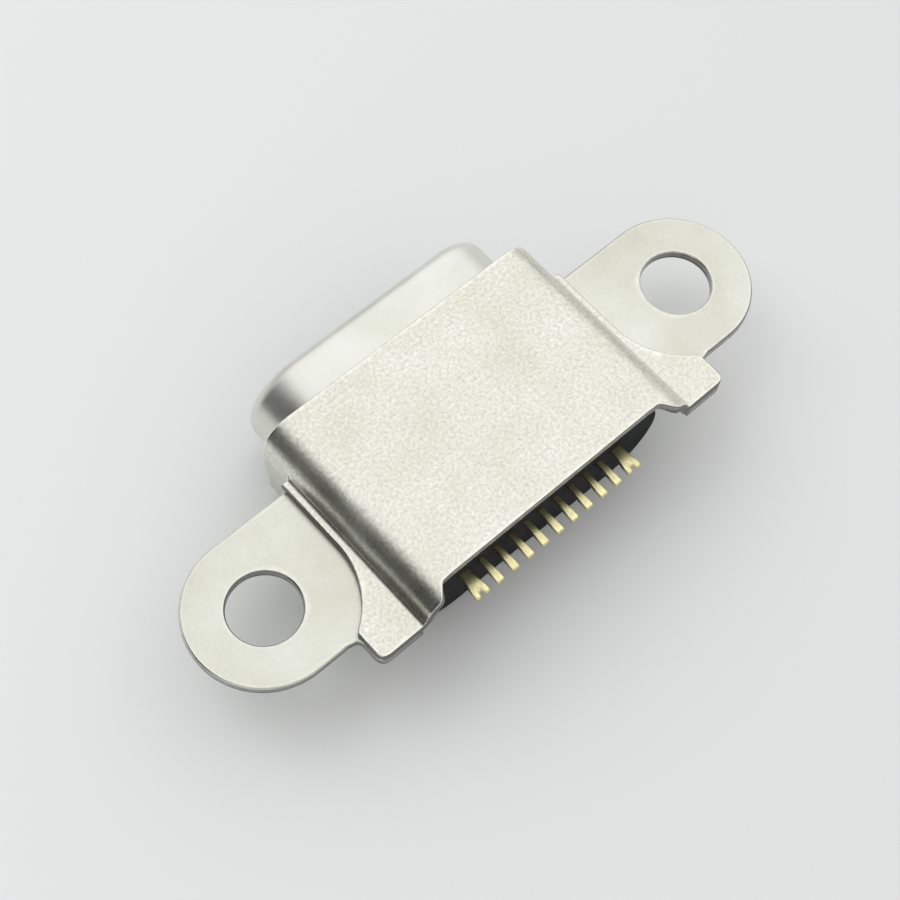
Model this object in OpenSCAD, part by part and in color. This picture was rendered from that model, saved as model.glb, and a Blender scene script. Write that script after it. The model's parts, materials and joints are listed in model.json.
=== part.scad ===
// Screw-mounted micro connector socket with an oval nose and a row of eleven solder tails.
// Millimetres. The origin lies midway between the two ear holes, on the underside of the ears.
// +X runs to the right ear, +Y to the plug mouth and +Z up to the stamped cover.

/* [Ears and bracket] */
// Distance from the body's side wall to the centre of an ear hole
hole_reach = 2.5; // [2.35:0.01:3]
// Diameter of the ear holes
hole_d = 1.85; // [1.4:0.05:2.4]
// Radius of the round end of an ear, and half the ear's width
ear_r = 2; // [1.7:0.05:2.2]
// Sheet thickness of the lower bracket
bracket_t = 0.3; // [0.2:0.01:0.4]
// Outer radius of the bracket's lower corners
bracket_bend = 0.6; // [0.5:0.05:0.9]
// How far the bracket's walls lean out, from the lower corners up to the ears
bracket_lean = 0.11; // [0:0.01:0.16]
// Outer radius where the bracket's wall turns out into an ear
bracket_root = 0.1; // [0.05:0.01:0.2]
// Rear edge of the bracket's bottom plate, behind the holes
bracket_back = 1.7; // [1.4:0.05:1.9]
// Radius of the inner corner between an ear and its foot
ear_fillet = 0.2; // [0.1:0.05:0.4]

/* [Cover] */
// Sheet thickness of the cover
cover_t = 0.25; // [0.15:0.01:0.3]
// Height of the cover's top above the ears
cover_rise = 0.97; // [0.8:0.01:1.2]
// Outer radius of the cover's side bends
cover_bend = 0.85; // [0.7:0.01:1]
// Radius where the cover's side turns out into its flange
cover_root = 0.15; // [0.1:0.01:0.3]
// Front edge of the cover and bracket, ahead of the holes
body_front = 3.14; // [2.9:0.01:3.6]
// Rear edge of the cover's top plate, behind the holes
cover_back = 2.48; // [2.35:0.01:2.7]
// Front end of the cover's flanges, ahead of the holes
flange_front = 2.1; // [1.8:0.05:2.4]
// Radius of the room left round a screw head
screw_room = 2.28; // [2.1:0.01:2.4]
// Rear edge of the feet, behind the holes
foot_back = 2.87; // [2.75:0.01:3.2]
// How far the cover's side stands out from the bracket's wall
cover_step = 0.05; // [0:0.01:0.15]
// How far a foot reaches out from the body's side wall
foot_reach = 1.32; // [1.1:0.01:1.5]
// Radius of a foot's rear corner
foot_round = 0.25; // [0.1:0.01:0.3]
// Half width of the relief cut in the rear edge of the top plate
relief_half = 3.85; // [3.6:0.01:3.95]
// Corner radius of that relief cut
relief_round = 0.36; // [0.2:0.01:0.39]
// Height of the side seam between the cover and the bracket
seam_z = 0.27; // [0.1:0.01:0.28]
// Width of that seam
seam_gap = 0.03; // [0.01:0.01:0.05]

/* [Nose] */
// Width of the oval nose
nose_w = 7.76; // [7.7:0.01:8.4]
// Height of the oval nose
nose_h = 2.9; // [2.8:0.01:3.3]
// Plane of the plug mouth, ahead of the holes
mouth_y = 4.47; // [4.2:0.01:5]
// Rounding of the nose's front rim
rim_round = 0.37; // [0.1:0.01:0.4]
// Rear end of the nose tube, behind the holes
tube_back = 1.95; // [1.9:0.01:2.1]
// Room between the nose and the bracket's walls, at the underside of the ears
side_room = 0.17; // [0.15:0.01:0.4]
// Rear face of the locating collar, ahead of the holes
collar_back = 1.2; // [0.8:0.05:1.8]
// How far the collar stands back from the body's front edge
collar_inset = 0.3; // [0.1:0.05:0.6]
// Room between pieces that slide together
fit_gap = 0.02; // [0.01:0.005:0.04]

/* [Plug opening] */
// Width of the plug opening
plug_w = 6.9; // [6.8:0.01:7]
// Height of the plug opening
plug_h = 1.85; // [1.8:0.01:1.95]
// Depth of the plug opening
plug_depth = 5; // [4.8:0.05:5.1]
// Radius of the opening's upper corners
plug_corner = 0.45; // [0.3:0.01:0.6]
// Width of the bevels at the opening's lower corners
plug_bevel_w = 0.75; // [0.5:0.01:0.9]
// Height of those bevels
plug_bevel_h = 0.65; // [0.4:0.01:0.8]
// Lead-in chamfer at the mouth
lead_in = 0.05; // [0.02:0.01:0.1]
// Wall of the tube round the carriers
tube_wall = 0.35; // [0.3:0.01:0.4]
// Distance of the latch pockets from the centre
latch_x = 1.6; // [1.2:0.05:2]
// Distance of the latch pockets from the mouth
latch_y = 2.4; // [2:0.05:2.8]
// Width of a latch pocket
latch_w = 0.7; // [0.5:0.05:0.9]
// Length of a latch pocket
latch_len = 0.9; // [0.7:0.05:1.1]
// Depth of a latch pocket
latch_deep = 0.2; // [0.1:0.01:0.3]

/* [Contact carriers] */
// Width of the tongue
tongue_w = 4; // [3.6:0.05:4.4]
// Thickness of the tongue
tongue_t = 0.6; // [0.5:0.01:0.7]
// Height of the tongue's lower face above the middle of the nose
tongue_rise = 0.04; // [0:0.01:0.12]
// Distance of the tongue's tip from the mouth
tongue_inset = 0.9; // [0.7:0.05:1.2]
// Chamfer at the tongue's tip
tongue_chamfer = 0.12; // [0.05:0.01:0.14]
// Rear face of the carriers, behind the holes
carrier_back = 1.8; // [1.75:0.01:1.88]
// Thickness of the rear insulator's flange
insulator_t = 0.3; // [0.2:0.01:0.4]
// How far that flange reaches past the tube on either side
insulator_lip = 0.14; // [0:0.01:0.16]

/* [Contacts] */
// Thickness of the contact strip
contact_t = 0.15; // [0.1:0.01:0.18]
// Pitch of the main contacts, on the tongue's lower face
main_pitch = 0.65; // [0.6:0.01:0.7]
// Width of a main contact
main_w = 0.35; // [0.25:0.01:0.4]
// Distance of the main contacts' tips from the tongue's tip
main_inset = 0.3; // [0.2:0.01:0.5]
// Pitch of the extra contacts, on the tongue's upper face
extra_pitch = 0.5; // [0.45:0.01:0.55]
// Width of an extra contact
extra_w = 0.25; // [0.2:0.01:0.3]
// Distance of the extra contacts' tips from the tongue's tip
extra_inset = 2.4; // [1.6:0.05:2.8]
// Pitch of the solder tails
tail_pitch = 0.5; // [0.45:0.005:0.52]
// Pitch from the last narrow tail to the wide end tail
end_pitch = 0.57; // [0.5:0.01:0.62]
// Width of a tail
tail_w = 0.16; // [0.12:0.01:0.2]
// Width of a tail's tip
pad_w = 0.21; // [0.18:0.01:0.25]
// Width of a wide end tail
wide_tail_w = 0.3; // [0.25:0.01:0.34]
// Width of a wide tail's forked tip
fork_w = 0.42; // [0.36:0.01:0.46]
// Width of the notch at its mouth, in a forked tip
fork_slot = 0.2; // [0.14:0.01:0.24]
// Width of that notch at its floor
fork_floor = 0.06; // [0.02:0.01:0.1]
// Depth of that notch
fork_deep = 0.15; // [0.08:0.01:0.2]
// Length over which a tail widens to its tip
pad_len = 0.5; // [0.4:0.01:0.6]
// Tips of the tails, behind the holes
tail_back = 3; // [2.9:0.01:3.4]
// Where the contacts start to fan out, behind the holes
fan_front = 0.7; // [0.6:0.01:0.8]
// Where the fan ends, behind the holes
fan_back = 1.2; // [1.1:0.01:1.3]
// Rear face of the extra contacts' upright legs, behind the holes
leg_back = 1.6; // [1.5:0.01:1.7]

/* [Hidden] */
$fn = 96;
// Overshoot of cutting tools past the faces that they open
over = 0.5;
// Reach of a sector's middle corner, as a multiple of its side
sector_middle = 1.5;

// Heights
ear_top = bracket_t;
flange_top = ear_top + cover_t;
cover_top = ear_top + cover_rise;
bend_z = cover_top - cover_bend;
skirt_bottom = min(bend_z, seam_z + seam_gap / 2);
wall_top = skirt_bottom - seam_gap;
nose_top = cover_top - cover_t;
nose_z = nose_top - nose_h / 2;
nose_bottom = nose_top - nose_h;
bracket_bottom = nose_bottom - bracket_t;
tongue_bottom = nose_z + tongue_rise;
tongue_top = tongue_bottom + tongue_t;
parting_z = tongue_bottom + tongue_t / 2;
body_h = cover_top - bracket_bottom;

// Places across the body
bracket_half = nose_w / 2 + side_room + bracket_t;
wall_half = bracket_half + cover_step;
hole_x = wall_half + hole_reach;
strip_x = hole_x - screw_room;
foot_x = wall_half + foot_reach;
nose_end = (nose_w - nose_h) / 2;

// Section of the cover's side: a convex bend runs straight into the concave root
flat_half = wall_half - cover_bend;
side_rise = cover_top - flange_top;
side_sum = cover_bend + cover_root;
side_lean = max(0, side_sum - side_rise);
side_wall = max(0, side_rise - side_sum);
side_slope = acos(side_lean / side_sum);
root_x = flat_half + side_sum * sin(side_slope);

// Section of the bracket's side: a leaning wall between the lower corner and the ear's root
corner = [bracket_half - bracket_lean - bracket_bend, bracket_bottom + bracket_bend];
ear_in = bracket_half + bracket_root;
ear_root = [ear_in, -bracket_root];

// Places along the body
carrier_front = mouth_y - plug_depth;
tongue_tip = mouth_y - tongue_inset;
insulator_back = tube_back + insulator_t;
bore_w = nose_w - 2 * tube_wall;
bore_h = nose_h - 2 * tube_wall;

// Contacts are counted from left to right by their tails
contact_count = 11;
middle_contact = (contact_count - 1) / 2;
main_contacts = [0, 3, 5, 7, 10];
main_middle = (len(main_contacts) - 1) / 2;
extra_middle = (contact_count - len(main_contacts) - 1) / 2;
function is_main(i) = len(search(i, main_contacts)) > 0;
function is_end(i) = i == 0 || i == contact_count - 1;
function mains_before(i) = len([for (m = main_contacts) if (m < i) m]);
function beam_x(i) =
    is_main(i) ? (mains_before(i) - main_middle) * main_pitch
               : (i - mains_before(i) - extra_middle) * extra_pitch;
function end_x(i) = sign(i - middle_contact) * ((middle_contact - 1) * tail_pitch + end_pitch);
function tail_x(i) = is_end(i) ? end_x(i) : (i - middle_contact) * tail_pitch;
function beam_w(i) = is_main(i) ? main_w : extra_w;
function beam_tip(i) = tongue_tip - (is_main(i) ? main_inset : extra_inset);
function root_w(i) = is_end(i) ? wide_tail_w : tail_w;
function tip_w(i) = is_end(i) ? fork_w : pad_w;
function contact_name(i) = str("contact_", i < 9 ? "0" : "", i + 1);

// Extrudes an outline drawn in X and Z from y0 to y1
module along_y(y0, y1) {
    translate([0, y1, 0])
        rotate([90, 0, 0])
            linear_extrude(y1 - y0)
                children();
}

// Repeats an outline or a solid on the left side
module both_sides() {
    children();
    mirror([1, 0, 0])
        children();
}

// Sector of a circle, wide enough for any bend up to a right angle
module sector(reach, from, to) {
    middle = (from + to) / 2;
    polygon([
        [0, 0],
        reach * [cos(from), sin(from)],
        sector_middle * reach * [cos(middle), sin(middle)],
        reach * [cos(to), sin(to)]
    ]);
}

// Section of a bent sheet between two angles
module bend(outer, sheet, from, to) {
    intersection() {
        difference() {
            circle(outer);
            circle(outer - sheet);
        }
        sector(2 * outer, from, to);
    }
}

// Oblong with full round ends, centred on the nose
module oval(w, h) {
    reach = (w - h) / 2;
    translate([0, nose_z]) {
        square([2 * reach, h], center = true);
        both_sides()
            translate([reach, 0])
                circle(h / 2);
    }
}

// Plan of a foot with its rear outer corner rounded, from inner_x outwards
module foot_plan(inner_x) {
    width = foot_x - inner_x;
    translate([inner_x, -foot_back])
        square([width - foot_round, foot_back]);
    translate([inner_x, foot_round - foot_back])
        square([width, foot_back - foot_round]);
    translate([foot_x - foot_round, foot_round - foot_back])
        circle(foot_round);
}

// Half section of the nose along its axis, with the front rim rounded
module rim_profile(reach) {
    length = mouth_y + tube_back;
    square([reach, length - rim_round]);
    square([reach - rim_round, length]);
    translate([reach - rim_round, length - rim_round])
        circle(rim_round);
}

// Solid oval nose from its rear end to the mouth
module nose_solid() {
    translate([0, -tube_back, nose_z]) {
        rotate([0, 90, 0])
            linear_extrude(2 * nose_end, center = true)
                both_sides()
                    rim_profile(nose_h / 2);
        both_sides()
            translate([nose_end, 0, 0])
                rotate([-90, 0, 0])
                    rotate_extrude()
                        rim_profile(nose_h / 2);
    }
}

// Room under the cover, less the fit
module inside_cover() {
    inner = cover_bend - cover_t - fit_gap;
    translate([-flat_half, nose_bottom])
        square([2 * flat_half, nose_h - fit_gap]);
    translate([-flat_half - inner, nose_bottom])
        square([2 * (flat_half + inner), bend_z - nose_bottom]);
    both_sides()
        translate([flat_half, bend_z])
            circle(inner);
}

// Room between the bracket's walls, less the fit
module inside_bracket() {
    inner = bracket_bend - bracket_t - fit_gap;
    room_half = bracket_half - bracket_t - fit_gap;
    polygon([
        [corner[0], corner[1] - inner],
        [corner[0] + inner, corner[1]],
        [room_half, -bracket_root],
        [room_half, nose_top],
        [-room_half, nose_top],
        [-room_half, -bracket_root],
        [-corner[0] - inner, corner[1]],
        [-corner[0], corner[1] - inner]
    ]);
    both_sides()
        translate(corner)
            circle(inner);
}

// Outline of the collar that locates the cover and the bracket on the nose
module collar_outline() {
    intersection() {
        inside_cover();
        inside_bracket();
    }
}

// Outline of the plug opening: round upper corners, bevelled lower corners
module plug_outline() {
    half_w = plug_w / 2;
    half_h = plug_h / 2;
    translate([0, nose_z]) {
        polygon([
            [half_w, half_h - plug_corner],
            [half_w, plug_bevel_h - half_h],
            [half_w - plug_bevel_w, -half_h],
            [plug_bevel_w - half_w, -half_h],
            [-half_w, plug_bevel_h - half_h],
            [-half_w, half_h - plug_corner]
        ]);
        translate([plug_corner - half_w, 0])
            square([2 * (half_w - plug_corner), half_h]);
        both_sides()
            translate([half_w - plug_corner, half_h - plug_corner])
                circle(plug_corner);
    }
}

// Four-sided lead-in that opens the mouth on all sides
module mouth_lead_in() {
    half_w = plug_w / 2;
    half_h = plug_h / 2;
    intersection() {
        translate([0, 0, nose_z - plug_h])
            linear_extrude(2 * plug_h)
                polygon([
                    [half_w, mouth_y - lead_in],
                    [half_w + lead_in + over, mouth_y + over],
                    [-half_w - lead_in - over, mouth_y + over],
                    [-half_w, mouth_y - lead_in]
                ]);
        translate([0, 0, nose_z])
            rotate([0, 90, 0])
                linear_extrude(2 * plug_w, center = true)
                    polygon([
                        [half_h, mouth_y - lead_in],
                        [half_h + lead_in + over, mouth_y + over],
                        [-half_h - lead_in - over, mouth_y + over],
                        [-half_h, mouth_y - lead_in]
                    ]);
    }
}

// Drawn oval shell: nose, locating collar, plug opening and the bore for the carriers
module front_shell() {
    color([0.86, 0.86, 0.83])
    difference() {
        union() {
            nose_solid();
            along_y(collar_back, body_front - collar_inset)
                collar_outline();
        }
        along_y(carrier_front - over, mouth_y + over)
            plug_outline();
        mouth_lead_in();
        along_y(-tube_back - over, carrier_front)
            oval(bore_w, bore_h);
        both_sides()
            translate([
                latch_x - latch_w / 2,
                mouth_y - latch_y - latch_len,
                nose_z - plug_h / 2 - latch_deep
            ])
                cube([latch_w, latch_len, plug_h / 2]);
    }
}

// Top plate of the cover and the start of its two side bends
module cover_crown(slope) {
    translate([-flat_half, cover_top - cover_t])
        square([2 * flat_half, cover_t]);
    both_sides()
        translate([flat_half, bend_z])
            bend(cover_bend, cover_t, 90 - slope, 90);
}

// Section of the cover where its sides turn out into flanges
module cover_flange_section() {
    cover_crown(side_slope);
    both_sides() {
        if (side_wall > 0)
            translate([wall_half - cover_t, flange_top + cover_root])
                square([cover_t, side_wall]);
        translate([root_x, flange_top + cover_root])
            bend(cover_root + cover_t, cover_t, 270 - side_slope, 270);
        translate([root_x, ear_top])
            square([foot_x, cover_t]);
    }
}

// Section of the cover at its front, where its sides run down to the seam
module cover_skirt_section() {
    cover_crown(90);
    if (bend_z > skirt_bottom)
        both_sides()
            translate([wall_half - cover_t, skirt_bottom])
                square([cover_t, bend_z - skirt_bottom]);
}

// Relief cut in the rear edge of the top plate
module relief_plan() {
    length = foot_back - cover_back;
    translate([-relief_half, -foot_back - over])
        square([2 * relief_half, length + over - relief_round]);
    translate([relief_round - relief_half, -foot_back - over])
        square([2 * (relief_half - relief_round), length + over]);
    both_sides()
        translate([relief_half - relief_round, -cover_back - relief_round])
            circle(relief_round);
}

// Plan of the cover with its flanges, screw room and feet
module cover_plan() {
    difference() {
        union() {
            translate([-wall_half, 0])
                square([2 * wall_half, body_front]);
            translate([-strip_x, -foot_back])
                square([2 * strip_x, foot_back + flange_front]);
            both_sides()
                foot_plan(0);
        }
        both_sides()
            translate([hole_x, 0])
                circle(screw_room);
        relief_plan();
    }
}

// Stamped cover that lies on the ears and holds the nose down
module top_cover() {
    color([0.88, 0.88, 0.84])
    intersection() {
        union() {
            along_y(-foot_back, flange_front)
                cover_flange_section();
            along_y(flange_front, body_front)
                cover_skirt_section();
        }
        linear_extrude(2 * cover_top)
            cover_plan();
    }
}

// Trough of the bracket: its bottom plate, lower corners and leaning walls
module bracket_trough() {
    translate([-corner[0], bracket_bottom])
        square([2 * corner[0], bracket_t]);
    both_sides() {
        translate(corner)
            bend(bracket_bend, bracket_t, 270, 360);
        polygon([
            corner + [bracket_bend, 0],
            [bracket_half, -bracket_root],
            [bracket_half - bracket_t, -bracket_root],
            corner + [bracket_bend - bracket_t, 0]
        ]);
    }
}

// Section of the bracket between its ears
module bracket_ear_section() {
    bracket_trough();
    both_sides()
        translate(ear_root)
            bend(bracket_root + bracket_t, bracket_t, 90, 180);
}

// Section of the bracket at its front, where its walls run up to the seam
module bracket_front_section() {
    bracket_trough();
    both_sides()
        translate([bracket_half - bracket_t, -bracket_root])
            square([bracket_t, wall_top + bracket_root]);
}

// Plan of the right ear with its foot
module ear_plan() {
    translate([hole_x, 0])
        circle(ear_r);
    translate([ear_in, -ear_r])
        square([hole_x - ear_in, 2 * ear_r]);
    foot_plan(ear_in);
    translate([foot_x, -ear_r - ear_fillet])
        difference() {
            square(ear_fillet);
            translate([ear_fillet, 0])
                circle(ear_fillet);
        }
}

// Stamped lower bracket: trough under the nose and two ears with screw holes
module lower_bracket() {
    color([0.85, 0.85, 0.8])
    union() {
        along_y(-bracket_back, ear_r)
            bracket_ear_section();
        along_y(ear_r, body_front)
            bracket_front_section();
        both_sides()
            difference() {
                linear_extrude(bracket_t)
                    ear_plan();
                translate([hole_x, 0, -over])
                    cylinder(h = bracket_t + 2 * over, d = hole_d);
            }
    }
}

// Plan of a contact's beam, its fan and the straight strip behind the fan, back to y_back
module strip_plan(i, y_back) {
    half_beam = beam_w(i) / 2;
    half_root = root_w(i) / 2;
    polygon([
        [beam_x(i) - half_beam, beam_tip(i)],
        [beam_x(i) + half_beam, beam_tip(i)],
        [beam_x(i) + half_beam, -fan_front],
        [tail_x(i) + half_root, -fan_back],
        [tail_x(i) + half_root, -y_back],
        [tail_x(i) - half_root, -y_back],
        [tail_x(i) - half_root, -fan_back],
        [beam_x(i) - half_beam, -fan_front]
    ]);
}

// Plan of the length over which a tail widens to its tip
module pad_plan(i) {
    half_root = root_w(i) / 2;
    half_tip = tip_w(i) / 2;
    translate([tail_x(i), -tail_back])
        polygon([
            [-half_tip, 0],
            [half_tip, 0],
            [half_root, pad_len],
            [-half_root, pad_len]
        ]);
}

// Tapered notch that forks the tip of a wide tail
module fork_plan(i) {
    half_mouth = fork_slot / 2;
    half_floor = fork_floor / 2;
    translate([tail_x(i), -tail_back])
        polygon([
            [-half_mouth, -over],
            [half_mouth, -over],
            [half_mouth, 0],
            [half_floor, fork_deep],
            [-half_floor, fork_deep],
            [-half_mouth, 0]
        ]);
}

// Flat strip from the tongue's lower face straight back to its tail
module main_contact(i) {
    translate([0, 0, tongue_bottom])
        difference() {
            union() {
                linear_extrude(contact_t)
                    strip_plan(i, tail_back);
                linear_extrude(contact_t)
                    pad_plan(i);
            }
            if (is_end(i))
                translate([0, 0, -over])
                    linear_extrude(contact_t + 2 * over)
                        fork_plan(i);
        }
}

// Strip on the tongue's upper face that steps down to the level of the tails
module extra_contact(i) {
    leg_front = contact_t - leg_back;
    half_root = root_w(i) / 2;
    translate([0, 0, tongue_top - contact_t])
        linear_extrude(contact_t)
            strip_plan(i, leg_back);
    translate([tail_x(i) - half_root, -leg_back, tongue_bottom])
        cube([2 * half_root, contact_t, tongue_t]);
    translate([0, 0, tongue_bottom])
        linear_extrude(contact_t) {
            translate([tail_x(i) - half_root, -tail_back])
                square([2 * half_root, tail_back + leg_front]);
            pad_plan(i);
        }
}

// One gold-plated contact
module contact(i) {
    color([0.93, 0.82, 0.52])
    union() {
        if (is_main(i))
            main_contact(i);
        else
            extra_contact(i);
    }
}

// All contacts, as the shape of the slots that they are moulded into
module contact_slots() {
    for (i = [0:contact_count - 1])
        contact(i);
}

// Base and tongue of both carriers, before they are parted
module carrier_blank() {
    along_y(-carrier_back, carrier_front)
        oval(bore_w - 2 * fit_gap, bore_h - 2 * fit_gap);
    rotate([0, 90, 0])
        linear_extrude(tongue_w, center = true)
            polygon([
                [-tongue_bottom, carrier_front],
                [-tongue_bottom, tongue_tip - tongue_chamfer],
                [-tongue_bottom - tongue_chamfer, tongue_tip],
                [-tongue_top + tongue_chamfer, tongue_tip],
                [-tongue_top, tongue_tip - tongue_chamfer],
                [-tongue_top, carrier_front]
            ]);
}

// Block that covers the carriers on one side of the parting plane
module parting_block(z0) {
    translate([-nose_w / 2, -tail_back, z0])
        cube([nose_w, tail_back + mouth_y, nose_h]);
}

// Upper half of the moulded carrier, with the extra contacts
module upper_carrier() {
    color([0.1, 0.1, 0.1])
    difference() {
        intersection() {
            carrier_blank();
            parting_block(parting_z);
        }
        contact_slots();
    }
}

// Lower half of the moulded carrier, with the main contacts
module lower_carrier() {
    color([0.08, 0.08, 0.08])
    difference() {
        intersection() {
            carrier_blank();
            parting_block(parting_z - nose_h);
        }
        contact_slots();
    }
}

// Moulded insulator that closes the rear of the tube round the tails
module rear_insulator() {
    color([0.06, 0.06, 0.07])
    difference() {
        union() {
            along_y(-tube_back, -carrier_back)
                oval(bore_w - 2 * fit_gap, bore_h - 2 * fit_gap);
            along_y(-insulator_back, -tube_back)
                oval(nose_w + 2 * insulator_lip, nose_h - 2 * fit_gap);
        }
        contact_slots();
    }
}

front_shell();
top_cover();
lower_bracket();
upper_carrier();
lower_carrier();
rear_insulator();
for (i = [0:contact_count - 1])
    contact(i);
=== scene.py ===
"""Looks of a screw-mounted micro connector socket with an oval nose and eleven solder tails.

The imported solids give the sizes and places. The cover and the bracket are drawn again as bent sheets
with rounded, sheared edges and the contacts as rounded strips, and every surface gets its own finish.
Metres. +X runs to the right ear, +Y to the plug mouth and +Z up to the stamped cover.
"""

import json
import math

import bmesh
import bpy
import numpy as np
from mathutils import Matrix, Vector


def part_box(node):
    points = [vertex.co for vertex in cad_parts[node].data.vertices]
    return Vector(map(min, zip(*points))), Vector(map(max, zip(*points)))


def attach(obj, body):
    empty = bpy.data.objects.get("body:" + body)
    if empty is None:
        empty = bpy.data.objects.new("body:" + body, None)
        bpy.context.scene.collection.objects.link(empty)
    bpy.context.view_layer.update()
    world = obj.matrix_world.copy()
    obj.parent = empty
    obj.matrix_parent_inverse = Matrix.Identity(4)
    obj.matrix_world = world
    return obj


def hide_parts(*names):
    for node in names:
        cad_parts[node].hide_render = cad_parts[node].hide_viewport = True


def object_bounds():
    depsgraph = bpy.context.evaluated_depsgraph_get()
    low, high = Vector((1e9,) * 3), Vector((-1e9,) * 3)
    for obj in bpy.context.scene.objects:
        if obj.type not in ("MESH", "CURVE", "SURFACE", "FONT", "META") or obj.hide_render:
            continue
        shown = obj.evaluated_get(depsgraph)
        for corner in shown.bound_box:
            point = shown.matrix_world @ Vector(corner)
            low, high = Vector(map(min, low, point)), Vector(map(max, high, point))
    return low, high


bl_info = {
    "name": "Micro connector socket",
    "version": (1, 0, 0),
    "blender": (4, 5, 0),
    "location": "View3D > Sidebar > Socket",
    "description": "Dresses a packed connector socket with bent sheets, plated metal and a plain stage",
    "category": "Object",
}

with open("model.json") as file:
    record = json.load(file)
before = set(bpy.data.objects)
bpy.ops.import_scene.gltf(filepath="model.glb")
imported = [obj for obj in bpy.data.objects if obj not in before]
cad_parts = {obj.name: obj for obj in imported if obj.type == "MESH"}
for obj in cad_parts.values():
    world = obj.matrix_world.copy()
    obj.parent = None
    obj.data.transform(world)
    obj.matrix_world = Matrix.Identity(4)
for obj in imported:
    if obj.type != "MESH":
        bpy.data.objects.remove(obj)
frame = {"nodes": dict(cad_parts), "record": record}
CAD_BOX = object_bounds()
MM = 0.001
BODY = "root"
CONTACTS = sorted(name for name in frame["nodes"] if name.startswith("contact_"))
DIMPLED = CONTACTS[2:7]
CARRIERS = ("upper_carrier", "lower_carrier")
COVER_LOW, COVER_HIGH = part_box("top_cover")
BRACKET_LOW, BRACKET_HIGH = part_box("lower_bracket")
EAR_HOLES = next(m for m in frame["record"]["mounts"] if m["name"] == "ear_holes")["dims"]

# Vertices closer than this become one.
WELD = 1e-8
# Distance of a grid's second row from its edge, so that the edge's rounding fits between them.
MARGIN = 0.12 * MM
# Even rows along the bracket's trough.
WALL_ROWS = 11
# Angle along a flange's bite, in degrees from the line through the holes, at which the foot starts.
BITE_SPLIT = 35
# How far the seam between flange and foot slants inwards on its way to the rear edge.
FOOT_SLANT = 0.18 * MM
# Open edges closer than this to the end of a slit aren't rounded.
SLIT_REACH = 0.05 * MM

# A strip's ends narrow over this length to these shares of its thickness and width.
END_LENGTH = 0.02 * MM
END_THICK = 0.7
END_WIDE = 0.94
# First and last place and number of the even rows along a tail, from its tip.
TAIL_ROWS = (0.05 * MM, 0.7 * MM, 22)
# Shares of the taper's length between which a tail's width changes; the droop ends at the second one.
TAPER_START, TAPER_END = 0.4, 1.2
# A fork's outer corners start at this share of its width and are drawn forward by this much.
CORNER_START = 0.4
CORNER_PULL = 0.02 * MM
# Distance of a dimple from the tail's tip, and its depth.
DIMPLE_PLACE = 0.2 * MM
DIMPLE_DEEP = 0.01 * MM
# The painted shade on a tail starts at this distance from its tip and grows over this length.
ROOT_SHADE_START = 0.06 * MM
ROOT_SHADE_RUN = 0.42 * MM

# Change of a dull cloud's tone in red, green and blue.
WARMTH = (0.0, 0.005, -0.06)
# Direction of the sky's bright side, and the shares of it between which the light rises.
BRIGHT_SIDE = (0.45, 0.25, 0.857)
BRIGHT_EDGE = (0.5, 0.86)
# The dark card in the sky: the Y of its middle, and its soft edges towards -X and along Y.
CARD_Y = 0.29
CARD_EDGE_X = (0.2, 0.6)
CARD_EDGE_Y = (0.2, 0.36)
LAMP_PLACE = (-40 * MM, 60 * MM, 90 * MM)
LAMP_SIZE = 90 * MM
# Place of the camera in millimetres and its turn in degrees.
EYE = (-15.471, -12.633, 39.966)
EYE_TURN = (25.982, -3.265, -42.062)


def length(name, description, millimetres):
    """A size that a user can change, given in millimetres and kept in metres."""
    return bpy.props.FloatProperty(
        name=name, description=description, default=millimetres * MM, unit="LENGTH", precision=6)


def tint(name, description, colour):
    """A colour that a user can change."""
    return bpy.props.FloatVectorProperty(
        name=name, description=description, default=colour, subtype="COLOR", size=3, min=0, max=1)


def share(name, description, value, top=1.0):
    """A plain number from nothing up to a top."""
    return bpy.props.FloatProperty(
        name=name, description=description, default=value, min=0, max=top, subtype="FACTOR")


class SocketSheets(bpy.types.PropertyGroup):
    """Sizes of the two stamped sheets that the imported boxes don't give."""

    cover_t: length("Cover sheet", "Sheet thickness of the cover", 0.25)
    cover_bend: length("Cover bend", "Outer radius of the cover's side bends", 0.85)
    cover_root: length("Cover root", "Radius where the cover's side turns out into its flange", 0.15)
    wall_half: length("Body half width", "Half width of the body over the cover's sides", 4.4)
    cover_back: length("Cover rear", "Rear edge of the top plate, behind the holes", 2.48)
    flange_front: length("Flange front", "Front end of the flanges, ahead of the holes", 2.1)
    screw_room: length("Screw room", "Radius of the room left round a screw head", 2.28)
    foot_round: length("Foot corner", "Radius of a foot's rear corner", 0.25)
    foot_nose: length("Foot front corner", "Radius of a foot's front corner, beside the screw room", 0.18)
    relief_half: length("Relief half width", "Half width of the relief cut in the rear edge", 3.85)
    relief_round: length("Relief corner", "Corner radius of the relief cut", 0.36)
    relief_soft: length("Relief run-out", "How far the relief's soft corner runs past its half width", 0.12)
    ear_r: length("Ear radius", "Radius of an ear's round end", 2.0)
    ear_fillet: length("Ear fillet", "Radius between an ear and its foot", 0.2)
    bracket_bend: length("Bracket corner", "Outer radius of the bracket's lower corners", 0.6)
    bracket_lean: length("Bracket lean", "How far the bracket's walls lean out", 0.11)
    bracket_root: length("Bracket root", "Outer radius where a wall turns out into an ear", 0.1)
    bracket_half: length("Bracket half width", "Half width of the bracket under its ears", 4.35)
    bracket_back: length("Bracket rear", "Rear edge of the bracket's bottom, behind the holes", 1.7)
    wall_top: length("Front wall top", "Top of the bracket's walls ahead of the ears", 0.255)
    cover_edge: length("Cover edge", "Rounding of the cover's sheared edges", 0.045)
    ear_edge: length("Bracket edge", "Rounding of the bracket's sheared edges", 0.065)


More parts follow.
